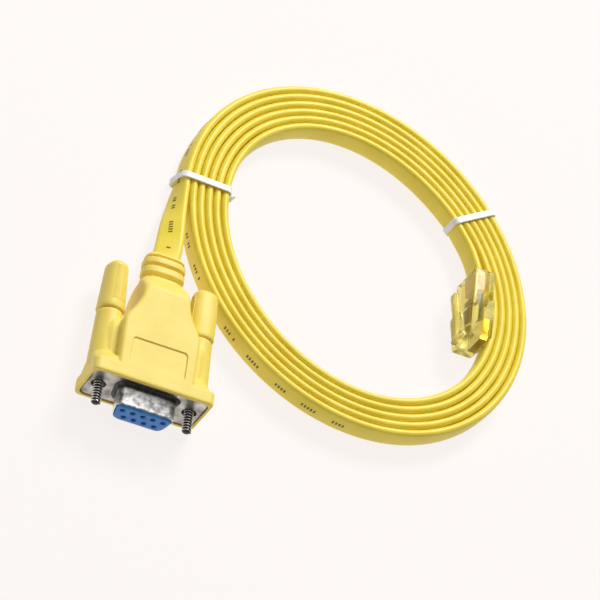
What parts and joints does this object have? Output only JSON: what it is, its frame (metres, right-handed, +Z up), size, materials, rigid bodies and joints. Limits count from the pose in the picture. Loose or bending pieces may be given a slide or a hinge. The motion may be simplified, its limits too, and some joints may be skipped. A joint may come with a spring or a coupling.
{
  "type": "rj45 console cable",
  "caption": "Yellow flat console cable with a screw-locked D-shaped socket at one end and a clear modular plug at the other, wound in a coil and tied.",
  "frame": {"origin": "centre of the socket connector's footprint, on the surface that it lies on", "axes": "+Y from the socket connector's mating face to its cable end, +Z up from the surface, +X across the connector towards the coil"},
  "size_m": [0.1224, 0.1224, 0.0152],
  "materials": {
    "hood": "moulded soft vinyl, satin",
    "cable": "extruded soft vinyl, slight sheen, small ink marks",
    "nickel": "bright nickel plate",
    "screw": "nickel-plated steel thread",
    "insulator": "moulded blue plastic",
    "contact": "gold flash over brass",
    "clear": "clear moulded polycarbonate",
    "tie": "white plastic-coated twist tie"
  },
  "bodies": {
    "root": {"hood": "hood", "socket_shell": "nickel", "socket_insulator": "insulator", "socket_contact_1": "contact", "socket_contact_2": "contact", "socket_contact_3": "contact", "socket_contact_4": "contact", "socket_contact_5": "contact", "socket_contact_6": "contact", "socket_contact_7": "contact", "socket_contact_8": "contact", "socket_contact_9": "contact", "cable_lead": "cable", "cable_coil": "cable", "cable_tail": "cable", "tie_left": "tie", "tie_right": "tie", "plug_body": "clear", "plug_contact_1": "contact", "plug_contact_2": "contact", "plug_contact_3": "contact", "plug_contact_4": "contact", "plug_contact_5": "contact", "plug_contact_6": "contact", "plug_contact_7": "contact", "plug_contact_8": "contact"},
    "thumbscrew_left": {"thumbscrew_rod_left": "screw", "thumbscrew_knob_left": "hood"},
    "thumbscrew_right": {"thumbscrew_rod_right": "screw", "thumbscrew_knob_right": "hood"},
    "latch": {"plug_latch": "clear"}
  },
  "joints": [
    {"name": "thumbscrew_left_turn", "type": "hinge", "parent": "root", "child": "thumbscrew_left", "pos_m": [-0.01249, 0, 0.0076], "axis": [0, 1, 0], "continuous": true},
    {"name": "thumbscrew_right_turn", "type": "hinge", "parent": "root", "child": "thumbscrew_right", "pos_m": [0.01249, 0, 0.0076], "axis": [0, 1, 0], "continuous": true},
    {"name": "latch_flex", "type": "hinge", "parent": "root", "child": "latch", "pos_m": [0.08655, 0.03367, 0.00595], "axis": [0, 0, -1], "range_deg": [0, 11], "stiffness_Nm_per_rad": 0.15}
  ]
}
